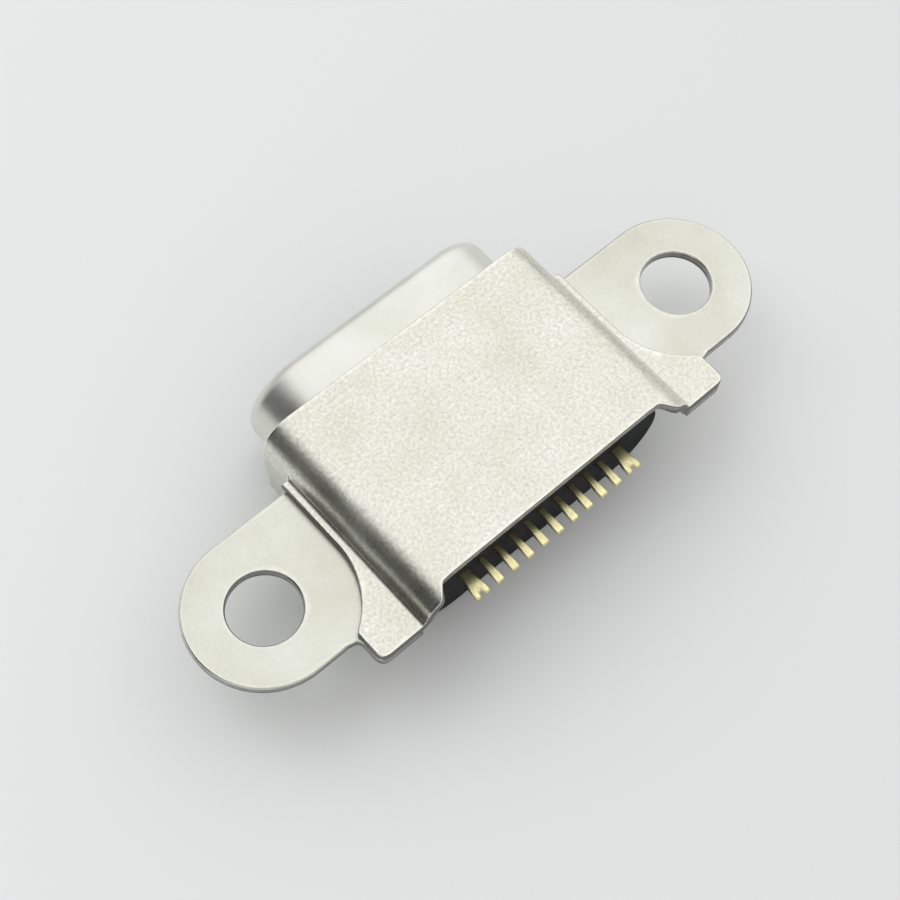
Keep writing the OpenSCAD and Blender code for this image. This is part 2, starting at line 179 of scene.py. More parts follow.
class SocketContacts(bpy.types.PropertyGroup):
    """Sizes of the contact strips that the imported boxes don't give."""

    tail_w: length("Tail width", "Width of a tail where it leaves the insulator", 0.16)
    pad_w: length("Tip width", "Width of a tail's tip", 0.21)
    wide_tail_w: length("Wide tail width", "Width of a wide end tail", 0.3)
    fork_w: length("Fork width", "Width of a wide tail's forked tip", 0.42)
    fork_slot: length("Fork mouth", "Width of the fork's notch at its mouth", 0.18)
    fork_floor: length("Fork floor", "Width of the fork's notch at its floor", 0.09)
    fork_deep: length("Fork depth", "Depth of the fork's notch", 0.14)
    pad_len: length("Taper", "Length over which a tail widens to its tip", 0.5)
    main_pitch: length("Main pitch", "Pitch of the main contacts on the tongue", 0.65)
    extra_pitch: length("Extra pitch", "Pitch of the extra contacts on the tongue", 0.5)
    tail_pitch: length("Tail pitch", "Pitch of the tails", 0.5)
    end_pitch: length("End pitch", "Pitch from the last narrow tail to the wide one", 0.57)
    main_w: length("Main width", "Width of a main contact", 0.35)
    extra_w: length("Extra width", "Width of an extra contact", 0.25)
    fan_front: length("Fan front", "Where the contacts start to fan out, behind the holes", 0.7)
    fan_back: length("Fan rear", "Where the fan ends, behind the holes", 1.2)
    leg_back: length("Leg rear", "Rear face of the extra contacts' legs, behind the holes", 1.6)
    leg_bend: length("Leg bend", "Middle radius of the bends at a leg", 0.1)
    strip_edge: length("Strip edge", "Rounding of a strip's edges", 0.014)
    droop: length("Droop", "How far a tail's tip hangs below its root", 0.06)
    dimple: length("Dimple", "Radius of the small dimple near a middle tail's tip", 0.036)


class SocketFinish(bpy.types.PropertyGroup):
    """Colours and gloss of the finishes."""

    cover_tint: tint("Cover steel", "Colour of the cover's blasted plating", (0.90, 0.895, 0.82))
    bracket_tint: tint("Bracket steel", "Colour of the bracket's plating", (0.77, 0.775, 0.705))
    nose_tint: tint("Nose steel", "Colour of the drawn nose", (0.82, 0.825, 0.78))
    # The sheared edges' colour is partly the bare steel's own and partly painted shade, kept dark for edges
    # that face down into shade.
    edge_tint_and_shade: tint("Sheared edge", "Colour of the sheet's bare, sheared edges", (0.31, 0.31, 0.295))
    gold_tint: tint("Gold plating", "Colour of the contacts", (0.99, 0.87, 0.5))
    carrier_tint: tint("Carrier plastic", "Colour of the moulded carriers", (0.022, 0.022, 0.024))
    insulator_tint: tint("Insulator plastic", "Colour of the rear insulator", (0.013, 0.013, 0.0145))
    cover_gloss: share("Cover roughness", "Roughness of the cover's plating", 0.31)
    bracket_gloss: share("Bracket roughness", "Roughness of the bracket's plating", 0.32)
    nose_gloss: share("Nose roughness", "Roughness of the drawn nose", 0.36)
    gold_gloss: share("Gold roughness", "Roughness of the contacts", 0.15)


class SocketStage(bpy.types.PropertyGroup):
    """Floor, light and camera."""

    floor_tint: tint("Floor", "Colour of the floor", (0.82, 0.83, 0.83))
    floor_half: length("Floor half width", "Half width of the floor", 2000.0)
    sky_low: share("Low light", "Light from the horizon", 0.65, 2.0)
    sky_high: share("High light", "Light from straight above", 0.75, 2.0)
    sky_bright: share("Bright side", "Light added on the bright side", 0.68, 2.0)
    sky_dark: share("Dark card", "Share of the light left in front of the dark card", 0.04)
    key_light: share("Lamp light", "Light from each spot of the large lamp", 1.45, 8.0)
    lens: length("Lens", "Focal length of the camera", 71.9)


def sheets():
    """Settings of the two sheets."""
    return bpy.context.scene.socket_sheets


def contact_sizes():
    """Settings of the contacts."""
    return bpy.context.scene.socket_contacts


def finishes():
    """Settings of the finishes."""
    return bpy.context.scene.socket_finish


def hole_x():
    """Distance of an ear's hole from the middle."""
    return EAR_HOLES["spacing_x_mm"] / 2 * MM


def arc(start, end, count):
    """Angles in radians from start to end, both given in degrees."""
    return np.radians(np.linspace(start, end, count))


def mirrored(x, z):
    """Adds the left half to the right half of a section that starts on the middle line."""
    return np.r_[-x[:0:-1], x], np.r_[z[:0:-1], z]


def margined(low, high, count):
    """Values from low to high, evenly spaced but for a first and a last one close to the ends."""
    inner = np.linspace(0, 1, count).reshape(-1, *[1] * np.ndim(low))
    low, high = np.asarray(low), np.asarray(high)
    return np.concatenate([low[None], low + MARGIN + (high - low - 2 * MARGIN) * inner, high[None]])


def columns(x, z, y_rear, y_front, rows):
    """Grid of a section carried along Y: column c is (x[c], y, z[c]), y from its rear to its front edge."""
    y = margined(np.broadcast_to(y_rear, x.shape), np.broadcast_to(y_front, x.shape), rows)
    return np.stack(np.broadcast_arrays(x, y, z), axis=-1)


def patch(rear, front, left, right):
    """Grid in the plane between four edges, blended after Coons.

    With u from left to right and v from rear to front, a point is
    (1 - v) * rear(u) + v * front(u) + (1 - u) * left(v) + u * right(v), less the same blend of the corners.
    """
    u = np.linspace(0, 1, len(rear))[None, :, None]
    v = np.linspace(0, 1, len(left))[:, None, None]
    across = (1 - v) * rear[None] + v * front[None]
    along = (1 - u) * left[:, None] + u * right[:, None]
    corners = (1 - v) * ((1 - u) * rear[0] + u * rear[-1]) + v * ((1 - u) * front[0] + u * front[-1])
    return across + along - corners


def lifted(flat, z):
    """A grid in the plane with its heights."""
    return np.concatenate([flat, np.broadcast_to(z, flat.shape[:2])[..., None]], axis=-1)


def pairs(x, y):
    """Points in the plane from their coordinates."""
    return np.stack(np.broadcast_arrays(x, y), axis=-1).astype(float)


def line(points, count):
    """The given number of points at even steps along a chain of points in the plane."""
    points = np.asarray(points, float)
    steps = np.r_[0, np.cumsum(np.hypot(*np.diff(points, axis=0).T))]
    at = np.linspace(0, steps[-1], count)
    return np.stack([np.interp(at, steps, points[:, k]) for k in (0, 1)], axis=-1)


def round_corner(centre, radius, start, end, count=12):
    """Points of an arc in the plane, from start to end in degrees."""
    turn = arc(start, end, count)
    return np.stack([centre[0] + radius * np.cos(turn), centre[1] + radius * np.sin(turn)], axis=-1)


def flipped(grid):
    """The same grid on the left side, with its columns turned round so that it still faces up."""
    return grid[:, ::-1] * [-1, 1, 1]


def piece_from_grids(name, grids, closed=False, slits=()):
    """One mesh object from grids of points, welded where they share an edge.

    A cell of a grid is the quad (r, c), (r, c + 1), (r + 1, c + 1), (r + 1, c).
    """
    quads = []
    first = 0
    for grid in grids:
        rows, cols = grid.shape[:2]
        index = first + np.arange(rows * cols).reshape(rows, cols)
        corners = (index[:-1, :-1], index[:-1, 1:], index[1:, 1:], index[1:, :-1])
        quads.append(np.stack(corners, axis=-1).reshape(-1, 4))
        first += rows * cols
    points = np.concatenate([grid.reshape(-1, 3) for grid in grids])
    mesh = bpy.data.meshes.new(name)
    mesh.from_pydata(points.tolist(), [], np.concatenate(quads).tolist())
    weld(mesh, closed)
    mark_edges(mesh, slits)
    mesh.shade_smooth()
    piece = bpy.data.objects.new(name, mesh)
    bpy.context.scene.collection.objects.link(piece)
    return piece


def weld(mesh, closed):
    """Joins the vertices that lie in the same place, drops empty cells and turns a closed skin outwards."""
    cells = bmesh.new()
    cells.from_mesh(mesh)
    bmesh.ops.remove_doubles(cells, verts=cells.verts, dist=WELD)
    bmesh.ops.dissolve_degenerate(cells, edges=cells.edges, dist=WELD)
    if closed:
        bmesh.ops.recalc_face_normals(cells, faces=cells.faces)
    cells.to_mesh(mesh)
    cells.free()


def mark_edges(mesh, slits):
    """Marks a sheet's open edges, where only one cell meets an edge, for rounding and for wear.

    They get a bevel weight of 1, except close to the ends of slits, and their vertices a rub of 1.
    """
    edge_of_loop = np.empty(len(mesh.loops), np.int32)
    mesh.loops.foreach_get("edge_index", edge_of_loop)
    ends = np.empty(2 * len(mesh.edges), np.int32)
    mesh.edges.foreach_get("vertices", ends)
    ends = ends.reshape(-1, 2)
    place = np.empty(3 * len(mesh.vertices), np.float32)
    mesh.vertices.foreach_get("co", place)
    middle = place.reshape(-1, 3)[ends].mean(axis=1)
    lone = np.bincount(edge_of_loop, minlength=len(mesh.edges)) == 1
    clear = np.ones(len(mesh.edges), bool)
    for slit in slits:
        clear &= np.linalg.norm(np.abs(middle) - np.abs(slit), axis=1) > SLIT_REACH
    weight = (lone & clear).astype(np.float32)
    mesh.attributes.new("bevel_weight_edge", "FLOAT", "EDGE").data.foreach_set("value", weight)
    rub = np.zeros(len(mesh.vertices), np.float32)
    rub[ends[lone].ravel()] = 1
    mesh.attributes.new("rub", "FLOAT", "POINT").data.foreach_set("value", rub)


def thicken(piece, thickness, rounding):
    """Gives a sheet its thickness, away from the side that it faces, and rounds its sheared edges."""
    wall = piece.modifiers.new("Sheet", "SOLIDIFY")
    wall.thickness = thickness
    wall.offset = -1
    wall.use_even_offset = True
    wall.use_quality_normals = True
    wall.material_offset_rim = 1
    edge = piece.modifiers.new("Sheared edge", "BEVEL")
    edge.width = rounding
    edge.segments = 3
    edge.limit_method = "WEIGHT"
    edge.use_clamp_overlap = False
    edge.harden_normals = True


def dress(piece, node, materials):
    """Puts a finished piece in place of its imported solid."""
    for material in materials:
        piece.data.materials.append(material)
    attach(piece, BODY)
    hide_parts(node)


def cover_section(s):
    """Outer face of the cover's right side as a height over X, and the numbers that it needs.

    The flat top runs into a convex bend of radius R, then straight into a concave root of radius r.
    """
    top = COVER_HIGH.z
    flange = BRACKET_HIGH.z + s.cover_t
    flat_half = s.wall_half - s.cover_bend
    both = s.cover_bend + s.cover_root
    slope = math.acos(min(1.0, max(0.0, (both - (top - flange)) / both)))
    join_x = flat_half + s.cover_bend * math.sin(slope)
    root_x = flat_half + both * math.sin(slope)

    def height(x):
        out = np.clip(x - flat_half, 0, s.cover_bend)
        back = np.clip(root_x - x, 0, s.cover_root)
        bend = top - s.cover_bend + np.sqrt(s.cover_bend ** 2 - out ** 2)
        root = flange + s.cover_root - np.sqrt(s.cover_root ** 2 - back ** 2)
        return np.where(x < join_x + WELD, bend, root)

    return flat_half, slope, root_x, height


def cover_grids(s):
    """The cover as welded grids: the body, its two flanges, the front skirt and two feet.

    A flange's outer edge runs straight, then along the round bite that leaves room for the screw, and
    from there in a line across to the rear edge, where the foot joins it.
    """
    flat_half, slope, root_x, height = cover_section(s)
    turn = math.degrees(slope)
    bend = flat_half + s.cover_bend * np.sin(arc(0, turn, 14))
    crown = np.r_[np.linspace(0, flat_half, 13)[:-1], bend]
    root = root_x - s.cover_root * np.sin(arc(turn, 0, 6))[1:]
    strip = np.r_[crown, root]
    split_y = -s.screw_room * math.sin(math.radians(BITE_SPLIT))
    x, z = mirrored(strip, height(strip))
    body = [
        columns(x, z, rear_edge(s, x), split_y, 7),
        columns(x, z, split_y, 0.0, 6),
        columns(x, z, 0.0, s.flange_front, 8),
    ]

    rows = np.concatenate([grid[:, -1, 1] for grid in body])
    bite_x = hole_x() - np.sqrt(s.screw_room ** 2 - np.clip(rows, split_y, 0) ** 2)
    away = np.clip((split_y - rows) / (split_y - COVER_LOW.y), 0, 1)
    edge_x = bite_x - FOOT_SLANT * away
    across = root_x + (edge_x - root_x)[:, None] * np.array([0, 0.5, 1])
    flange = lifted(pairs(across, rows[:, None]), BRACKET_HIGH.z + s.cover_t)
    foot = cover_foot(s, flange[:len(body[0]), -1, :2])

    down = arc(turn, 90, 5)[1:]
    bend_z = COVER_HIGH.z - s.cover_bend
    skirt_x = np.r_[crown, flat_half + s.cover_bend * np.sin(down), s.wall_half]
    skirt_z = np.r_[height(crown), bend_z + s.cover_bend * np.cos(down), COVER_LOW.z]
    x, z = mirrored(skirt_x, skirt_z)
    skirt = columns(x, z, s.flange_front, COVER_HIGH.y, 5)
    return [*body, skirt, flange, foot, flipped(flange), flipped(foot)]


def rear_edge(s, x):
    """Y of the body's rear edge: the relief, and a soft step 3 t^2 - 2 t^3 back to the feet's edge."""
    relief_in = s.relief_half - s.relief_round
    t = np.clip((np.abs(x) - relief_in) / (s.relief_round + s.relief_soft), 0, 1)
    return -s.cover_back + (COVER_LOW.y + s.cover_back) * t * t * (3 - 2 * t)


def cover_foot(s, left):
    """The right foot: its two outer corners are arcs, the front one between the bite and the outer edge.

    That front arc touches the outer edge and the bite, so its centre lies at the sum of both radii from
    the hole.
    """
    foot_x, foot_y = COVER_HIGH.x, COVER_LOW.y
    nose_x = foot_x - s.foot_nose
    reach = s.screw_room + s.foot_nose
    nose_y = -math.sqrt(reach ** 2 - (hole_x() - nose_x) ** 2)
    touch = math.degrees(math.atan2(-nose_y, hole_x() - nose_x))
    half = touch / 2
    bite = round_corner((hole_x(), 0), s.screw_room, 180 + BITE_SPLIT, 180 + touch, 20)
    front_out = round_corner((nose_x, nose_y), s.foot_nose, touch, half)
    outer_in = round_corner((nose_x, nose_y), s.foot_nose, half, 0)
    rear_corner = (foot_x - s.foot_round, foot_y + s.foot_round)
    outer_out = round_corner(rear_corner, s.foot_round, 0, -45)
    rear_out = round_corner(rear_corner, s.foot_round, -90, -45)
    wide = 9
    rear = line(np.concatenate([left[:1], rear_out]), wide)
    front = line(np.concatenate([bite, front_out[1:]]), wide)
    right = line(np.concatenate([outer_in, outer_out])[::-1], len(left))
    return lifted(patch(rear, front, left, right), BRACKET_HIGH.z + s.cover_t)


def ear_grids(s):
    """The right ear and its foot: a ring of cells from the hole out to the outline, and the foot's cells.

    Ray k of the ring runs from the hole's edge to outline point k, both at the same angle about the hole.
    """
    hole_r = EAR_HOLES["hole_r_mm"] * MM
    ear_in = s.bracket_half + s.bracket_root
    foot_x = COVER_HIGH.x
    fillet_x = foot_x + s.ear_fillet
    top = BRACKET_HIGH.z
    side_y = np.r_[wall_rows(s)[::-1], -s.ear_r]
    across = np.linspace(ear_in, fillet_x, 13)
    outline = np.concatenate([
        round_corner((hole_x(), 0), s.ear_r, -90, 90, 37),
        line([(hole_x(), s.ear_r), (ear_in, s.ear_r)], 11)[1:-1],
        pairs(ear_in, side_y),
        pairs(across[1:], -s.ear_r),
        line([(fillet_x, -s.ear_r), (hole_x(), -s.ear_r)], 5)[1:],
    ])
    centre = np.array([hole_x(), 0])
    ray = outline - centre
    rim = centre + hole_r * ray / np.hypot(*ray.T)[:, None]
    reach = np.array([0, 0.1, 0.25, 0.5, 0.75, 0.9, 1])[None, :, None]
    flat = rim[:, None] + (outline - rim)[:, None] * reach
    ring = lifted(flat, top)

    foot_y = BRACKET_LOW.y
    rear_corner = (foot_x - s.foot_round, foot_y + s.foot_round)
    outer = np.concatenate([
        round_corner(rear_corner, s.foot_round, -45, 0),
        round_corner((fillet_x, -s.ear_r - s.ear_fillet), s.ear_fillet, 180, 90),
    ])
    rear_out = round_corner(rear_corner, s.foot_round, -90, -45)
    rear = line(np.concatenate([[(ear_in, foot_y)], rear_out]), len(across))
    front = pairs(across, -s.ear_r)
    left = line([(ear_in, foot_y), (ear_in, -s.ear_r)], 11)
    foot = lifted(patch(rear, front, left, line(outer, 11)), top)
    return [ring, foot]


def wall_rows(s):
    """Rows along Y that the bracket's trough shares with its ears."""
    return margined(-s.bracket_back, s.ear_r, WALL_ROWS)


def bracket_grids(s):
    """The bracket's upper face: two ears with feet, the trough between them and its front walls.

    The trough's section runs from the middle of the bottom plate round the lower corner, up the leaning
    wall and round the root into the ear.
    """
    t = BRACKET_HIGH.z
    floor_z = BRACKET_LOW.z + t
    inner = s.bracket_bend - t
    corner_x = s.bracket_half - s.bracket_lean - s.bracket_bend
    corner_z = BRACKET_LOW.z + s.bracket_bend
    round_, root = arc(0, 90, 9)[1:], arc(90, 0, 9)[1:]
    lean = np.linspace(0, 1, 6)[1:]
    wall_x = corner_x + inner + s.bracket_lean * lean
    wall_z = corner_z + (-s.bracket_root - corner_z) * lean
    trough_x = np.r_[np.linspace(0, corner_x, 8), corner_x + inner * np.sin(round_), wall_x]
    trough_z = np.r_[np.full(8, floor_z), corner_z - inner * np.cos(round_), wall_z]
    ear_x = s.bracket_half + s.bracket_root - (s.bracket_root + t) * np.sin(root)
    ear_z = (s.bracket_root + t) * np.cos(root) - s.bracket_root
    upright = np.linspace(-s.bracket_root, s.wall_top, 4)[1:]

    x, z = mirrored(np.r_[trough_x, ear_x], np.r_[trough_z, ear_z])
    trough = columns(x, z, -s.bracket_back, s.ear_r, WALL_ROWS)
    x, z = mirrored(np.r_[trough_x, np.full_like(upright, trough_x[-1])], np.r_[trough_z, upright])
    front = columns(x, z, s.ear_r, BRACKET_HIGH.y, 5)
    right = ear_grids(s)
    return [trough, front, *right, *(flipped(grid) for grid in right)]


def strip_profile():
    """Section of a strip, once round, as shares of its half width, half thickness and edge rounding.

    A point lies at (wide * (half width - r) + out * r, tall * (half thickness - r) + up * r).
    """
    half = np.array([0, 0.2, 0.36, 0.43, 0.7, 1])
    top = np.r_[-half[:0:-1], half]
    turn = arc(0, 90, 4)[1:]
    lower = turn - turn[0]
    right = np.ones_like(turn)
    wide = np.r_[top, right, right, top[::-1], -right, -right]
    tall = np.r_[np.ones_like(top), right, -right, -np.ones_like(top), -right, right]
    flat = np.zeros_like(top)
    out = np.r_[flat, np.sin(turn), np.cos(lower), flat, -np.sin(turn), -np.cos(lower)]
    up = np.r_[flat + 1, np.cos(turn), -np.sin(lower), flat - 1, -np.cos(turn), np.sin(lower)]
    return wide, tall, out, up


def contact_path(c, low, high, strip_t):
    """Middle line of a contact in Y and Z, from its tail's tip on: straight, or with an upright leg."""
    tail_z, beam_z = low.z + strip_t / 2, high.z - strip_t / 2
    tail = np.r_[0, 0, END_LENGTH, np.linspace(*TAIL_ROWS)] + low.y
    beam = np.r_[-c.fan_back, -c.fan_front, high.y - END_LENGTH, high.y, high.y]
    if beam_z - tail_z < strip_t / 2:
        y = np.r_[tail, beam]
        return y, np.full_like(y, tail_z)
    leg_y = strip_t / 2 - c.leg_back
    turn = arc(0, 90, 6)
    rise = np.r_[leg_y - c.leg_bend + c.leg_bend * np.sin(turn), leg_y + c.leg_bend * (1 - np.cos(turn))]
    y = np.r_[tail, rise, beam]
    climb = np.r_[tail_z + c.leg_bend * (1 - np.cos(turn)), beam_z - c.leg_bend + c.leg_bend * np.sin(turn)]
    return y, np.r_[np.full_like(tail, tail_z), climb, np.full_like(beam, beam_z)]


def contact_grid(c, low, high, strip_t, beam_x, beam_w, tail_x, wide_tail, dimpled):
    """Rounded flat section carried along a contact's middle line; both ends close to a line.

    Width and X follow Y: from the tip's width to the tail's, then through the fan to the beam's. A tail
    droops by a parabola towards its tip. A wide tail's tip is drawn forward by the notch and at its corners,
    and a dimple is pressed in as a small bell curve.
    """
    y, z = contact_path(c, low, high, strip_t)
    root_w, tip_w = (c.wide_tail_w, c.fork_w) if wide_tail else (c.tail_w, c.pad_w)
    taper_end = TAPER_END * c.pad_len
    widen = [low.y + TAPER_START * c.pad_len, low.y + taper_end, -c.fan_back, -c.fan_front]
    width = np.interp(y, widen, [tip_w, root_w, root_w, beam_w])
    x = np.interp(y, [-c.fan_back, -c.fan_front], [tail_x, beam_x])
    slope = np.stack([np.gradient(y), np.gradient(z)], axis=-1)
    slope[[0, 1, -2, -1]] = (1, 0)
    slope /= np.hypot(*slope.T)[:, None]
    thick = np.ones_like(y)
    thick[[0, -1]], thick[[1, -2]] = 0, END_THICK
    wide, tall, out, up = strip_profile()
    r = c.strip_edge
    side = (wide * (width[:, None] / 2 - r) + out * r) * np.where(thick < 1, END_WIDE, 1)[:, None]
    rise = (tall * (strip_t / 2 - r) + up * r) * thick[:, None]
    px = x[:, None] + side
    py = y[:, None] - slope[:, 1:] * rise
    pz = z[:, None] + slope[:, :1] * rise
    if wide_tail:
        inside = (c.fork_slot / 2 - np.abs(side)) / (c.fork_slot - c.fork_floor) * 2
        notch = c.fork_deep * np.clip(inside, 0, 1)
        corner = np.clip((np.abs(side) / c.fork_w - CORNER_START) / (0.5 - CORNER_START), 0, 1)
        fade = np.clip(1 - (y - low.y) / (2 * c.fork_deep), 0, 1)[:, None]
        py = py + (notch + CORNER_PULL * corner) * fade
    pz = pz - c.droop * np.clip(1 - (y - low.y) / taper_end, 0, 1)[:, None] ** 2
    if dimpled:
        off = np.hypot(side, (y - low.y)[:, None] - DIMPLE_PLACE) / c.dimple
        pz = pz - DIMPLE_DEEP * np.exp(-off ** 2) * (tall > 0)
    grid = np.stack([px, py, pz], axis=-1)
    return np.concatenate([grid, grid[:, :1]], axis=1)


def shade_root(piece, tip_y):
    """Attribute root: 0 at a tail's tip, rising to 1 on the way to the insulator; it sets where the painted
    shade falls near the root.
    """
    place = np.empty(3 * len(piece.data.vertices), np.float32)
    piece.data.vertices.foreach_get("co", place)
    root = np.clip((place.reshape(-1, 3)[:, 1] - tip_y - ROOT_SHADE_START) / ROOT_SHADE_RUN, 0, 1)
    piece.data.attributes.new("root", "FLOAT", "POINT").data.foreach_set("value", root.astype(np.float32))


def group(name, inputs, outputs):
    """An empty shader node group with named number, colour or vector sockets."""
    tree = bpy.data.node_groups.new(name, "ShaderNodeTree")
    kinds = {"value": "NodeSocketFloat", "colour": "NodeSocketColor", "vector": "NodeSocketVector"}
    for label, kind, default in inputs:
        socket = tree.interface.new_socket(name=label, in_out="INPUT", socket_type=kinds[kind])
        if default is not None:
            socket.default_value = default
    for label, kind in outputs:
        tree.interface.new_socket(name=label, in_out="OUTPUT", socket_type=kinds[kind])
    return tree, tree.nodes.new("NodeGroupInput"), tree.nodes.new("NodeGroupOutput")


def add(tree, kind, **values):
    """A node with its settings and unlinked inputs; an input's name has its spaces as underscores."""
    made = tree.nodes.new(kind)
    for label, value in values.items():
        if hasattr(made, label):
            setattr(made, label, value)
        else:
            made.inputs[label.replace("_", " ")].default_value = value
    return made


def maths(tree, operation, first, second):
    """A Math node on two values, each a number or an output."""
    made = tree.nodes.new("ShaderNodeMath")
    made.operation = operation
    for socket, value in zip(made.inputs, (first, second)):
        if isinstance(value, (int, float)):
            socket.default_value = value
        else:
            tree.links.new(value, socket)
    return made.outputs[0]


def ranged(tree, value, low, high, to_low, to_high):
    """Maps a value from one range to another, held at both ends."""
    made = add(tree, "ShaderNodeMapRange")
    tree.links.new(value, made.inputs["Value"])
    for label, number in zip(("From Min", "From Max", "To Min", "To Max"), (low, high, to_low, to_high)):
        made.inputs[label].default_value = number
    return made.outputs["Result"]


def grain_group():
    """Plating grain: fine speckles and broad cloudy patches, each a value from 0 to 1.

    The inputs of the same names are the scales of these noises, per metre.
    """
    tree, given, result = group(
        "Plating grain",
        [("Vector", "vector", None), ("Speckle", "value", 12000.0), ("Cloud", "value", 700.0)],
        [("Speckle", "value"), ("Cloud", "value")])
    for label, detail, roughness in (("Speckle", 3.0, 0.7), ("Cloud", 4.0, 0.55)):
        texture = add(tree, "ShaderNodeTexNoise", Detail=detail, Roughness=roughness)
        tree.links.new(given.outputs["Vector"], texture.inputs["Vector"])
        tree.links.new(given.outputs[label], texture.inputs["Scale"])
        stretched = ranged(tree, texture.outputs["Fac"], 0.3, 0.7, 0, 1)
        tree.links.new(stretched, result.inputs[label])
    return tree


def wear_group():
    """Edge wear: the rub of a sheet's edges, broken up by a noise."""
    tree, given, result = group(
        "Edge wear", [("Vector", "vector", None), ("Breakup", "value", 6000.0)], [("Mask", "value")])
    rub = add(tree, "ShaderNodeAttribute", attribute_name="rub")
    broken = add(tree, "ShaderNodeTexNoise", Detail=2.0)
    tree.links.new(given.outputs["Vector"], broken.inputs["Vector"])
    tree.links.new(given.outputs["Breakup"], broken.inputs["Scale"])
    patches = ranged(tree, broken.outputs["Fac"], 0.35, 0.6, 0.35, 1)
    tree.links.new(maths(tree, "MULTIPLY", rub.outputs["Fac"], patches), result.inputs["Mask"])
    return tree


def shared(name, make):
    """A node group that is built once."""
    return bpy.data.node_groups.get(name) or make()


def material_with_shader(name):
    """A material with an empty tree, its surface shader and its object coordinates."""
    material = bpy.data.materials.new(name)
    material.use_nodes = True
    tree = material.node_tree
    tree.nodes.clear()
    shader = tree.nodes.new("ShaderNodeBsdfPrincipled")
    output = tree.nodes.new("ShaderNodeOutputMaterial")
    tree.links.new(shader.outputs["BSDF"], output.inputs["Surface"])
    place = tree.nodes.new("ShaderNodeTexCoord").outputs["Object"]
    return material, tree, shader, place


def placed(tree, node_tree, place, **values):
    """A shared group placed in a material with its own values."""
    made = tree.nodes.new("ShaderNodeGroup")
    made.node_tree = node_tree
    tree.links.new(place, made.inputs["Vector"])
    for label, value in values.items():
        made.inputs[label].default_value = value
    return made.outputs


def blend_colours(tree, factor, low, high):
    """Mixes two colours, each a triple or an output."""
    made = tree.nodes.new("ShaderNodeMix")
    made.data_type = "RGBA"
    tree.links.new(factor, made.inputs["Factor"])
    for socket, colour in ((made.inputs[6], low), (made.inputs[7], high)):
        if isinstance(colour, bpy.types.NodeSocket):
            tree.links.new(colour, socket)
        else:
            socket.default_value = (*colour, 1)
    return made.outputs[2]


def raised(tree, shader, height, strength, depth):
    """Bump on a shader's normal, with its depth in metres."""
    bump = add(tree, "ShaderNodeBump", Strength=strength, Distance=depth)
    tree.links.new(height, bump.inputs["Height"])
    tree.links.new(bump.outputs["Normal"], shader.inputs["Normal"])


def scaled(colour, factor):
    """A colour made lighter or darker."""
    return tuple(min(1.0, channel * factor) for channel in colour)


def plated_metal(name, colour, roughness, speckle, contrast, bump, cloud=700.0, dull=0.9):
    """Plated metal: speckled and softly clouded, with a blasted skin and edges that are rubbed bright.

    Speckle and cloud are the noises' scales, contrast is half the share of the dark speckles, and dull is
    the tone of the darkest clouds.
    """
    speck_tone, bright_cloud, rubbed_tone = 0.45, 1.06, 1.12
    gloss_spread, rubbed_gloss = 0.05, 0.12
    material, tree, shader, place = material_with_shader(name)
    grain = placed(tree, shared("Plating grain", grain_group), place, Speckle=speckle, Cloud=cloud)
    wear = placed(tree, shared("Edge wear", wear_group), place)
    warm = tuple(part * (dull + change) for part, change in zip(colour, WARMTH))
    face = blend_colours(tree, grain["Cloud"], warm, scaled(colour, bright_cloud))
    dark = maths(tree, "MULTIPLY", grain["Speckle"], 2 * contrast)
    speckled = blend_colours(tree, dark, face, scaled(colour, speck_tone))
    rubbed = blend_colours(tree, wear["Mask"], speckled, scaled(colour, rubbed_tone))
    tree.links.new(rubbed, shader.inputs["Base Color"])
    gloss = ranged(tree, grain["Cloud"], 0, 1, roughness - gloss_spread, roughness + gloss_spread)
    smooth = maths(tree, "MULTIPLY", wear["Mask"], rubbed_gloss)
    tree.links.new(maths(tree, "SUBTRACT", gloss, smooth), shader.inputs["Roughness"])
    shader.inputs["Metallic"].default_value = 1.0
    raised(tree, shader, grain["Speckle"], strength=bump, depth=4e-6)
    return material


def sheared_metal(name, colour, top):
    """Sheared sheet edge: a burnished band with fine upright streaks over a darker, torn band, in a colour
    that is partly bare steel and partly painted shade.

    The torn band starts below the sheet's top and has a wavy border.
    """
    torn_from, torn_to, wave = 0.12 * MM, 0.17 * MM, 0.06 * MM
    streak_low, streak_high, torn_tone = 0.8, 1.15, 0.62
    smooth, rough = 0.18, 0.5
    material, tree, shader, place = material_with_shader(name)
    squashed = add(tree, "ShaderNodeMapping", Scale=(1.0, 1.0, 0.12))
    tree.links.new(place, squashed.inputs["Vector"])
    along = squashed.outputs["Vector"]
    grain = placed(tree, shared("Plating grain", grain_group), along, Speckle=16000.0, Cloud=3000.0)
    axes = tree.nodes.new("ShaderNodeSeparateXYZ")
    tree.links.new(place, axes.inputs["Vector"])
    waved = maths(tree, "ADD", axes.outputs["Z"], maths(tree, "MULTIPLY", grain["Cloud"], wave))
    torn = ranged(tree, waved, top - torn_to, top - torn_from, 1, 0)
    streaked = blend_colours(tree, grain["Speckle"], scaled(colour, streak_low), scaled(colour, streak_high))
    both = blend_colours(tree, torn, streaked, scaled(colour, torn_tone))
    tree.links.new(both, shader.inputs["Base Color"])
    tree.links.new(ranged(tree, torn, 0, 1, smooth, rough), shader.inputs["Roughness"])
    shader.inputs["Metallic"].default_value = 1.0
    raised(tree, shader, grain["Speckle"], strength=0.35, depth=4e-6)
    return material


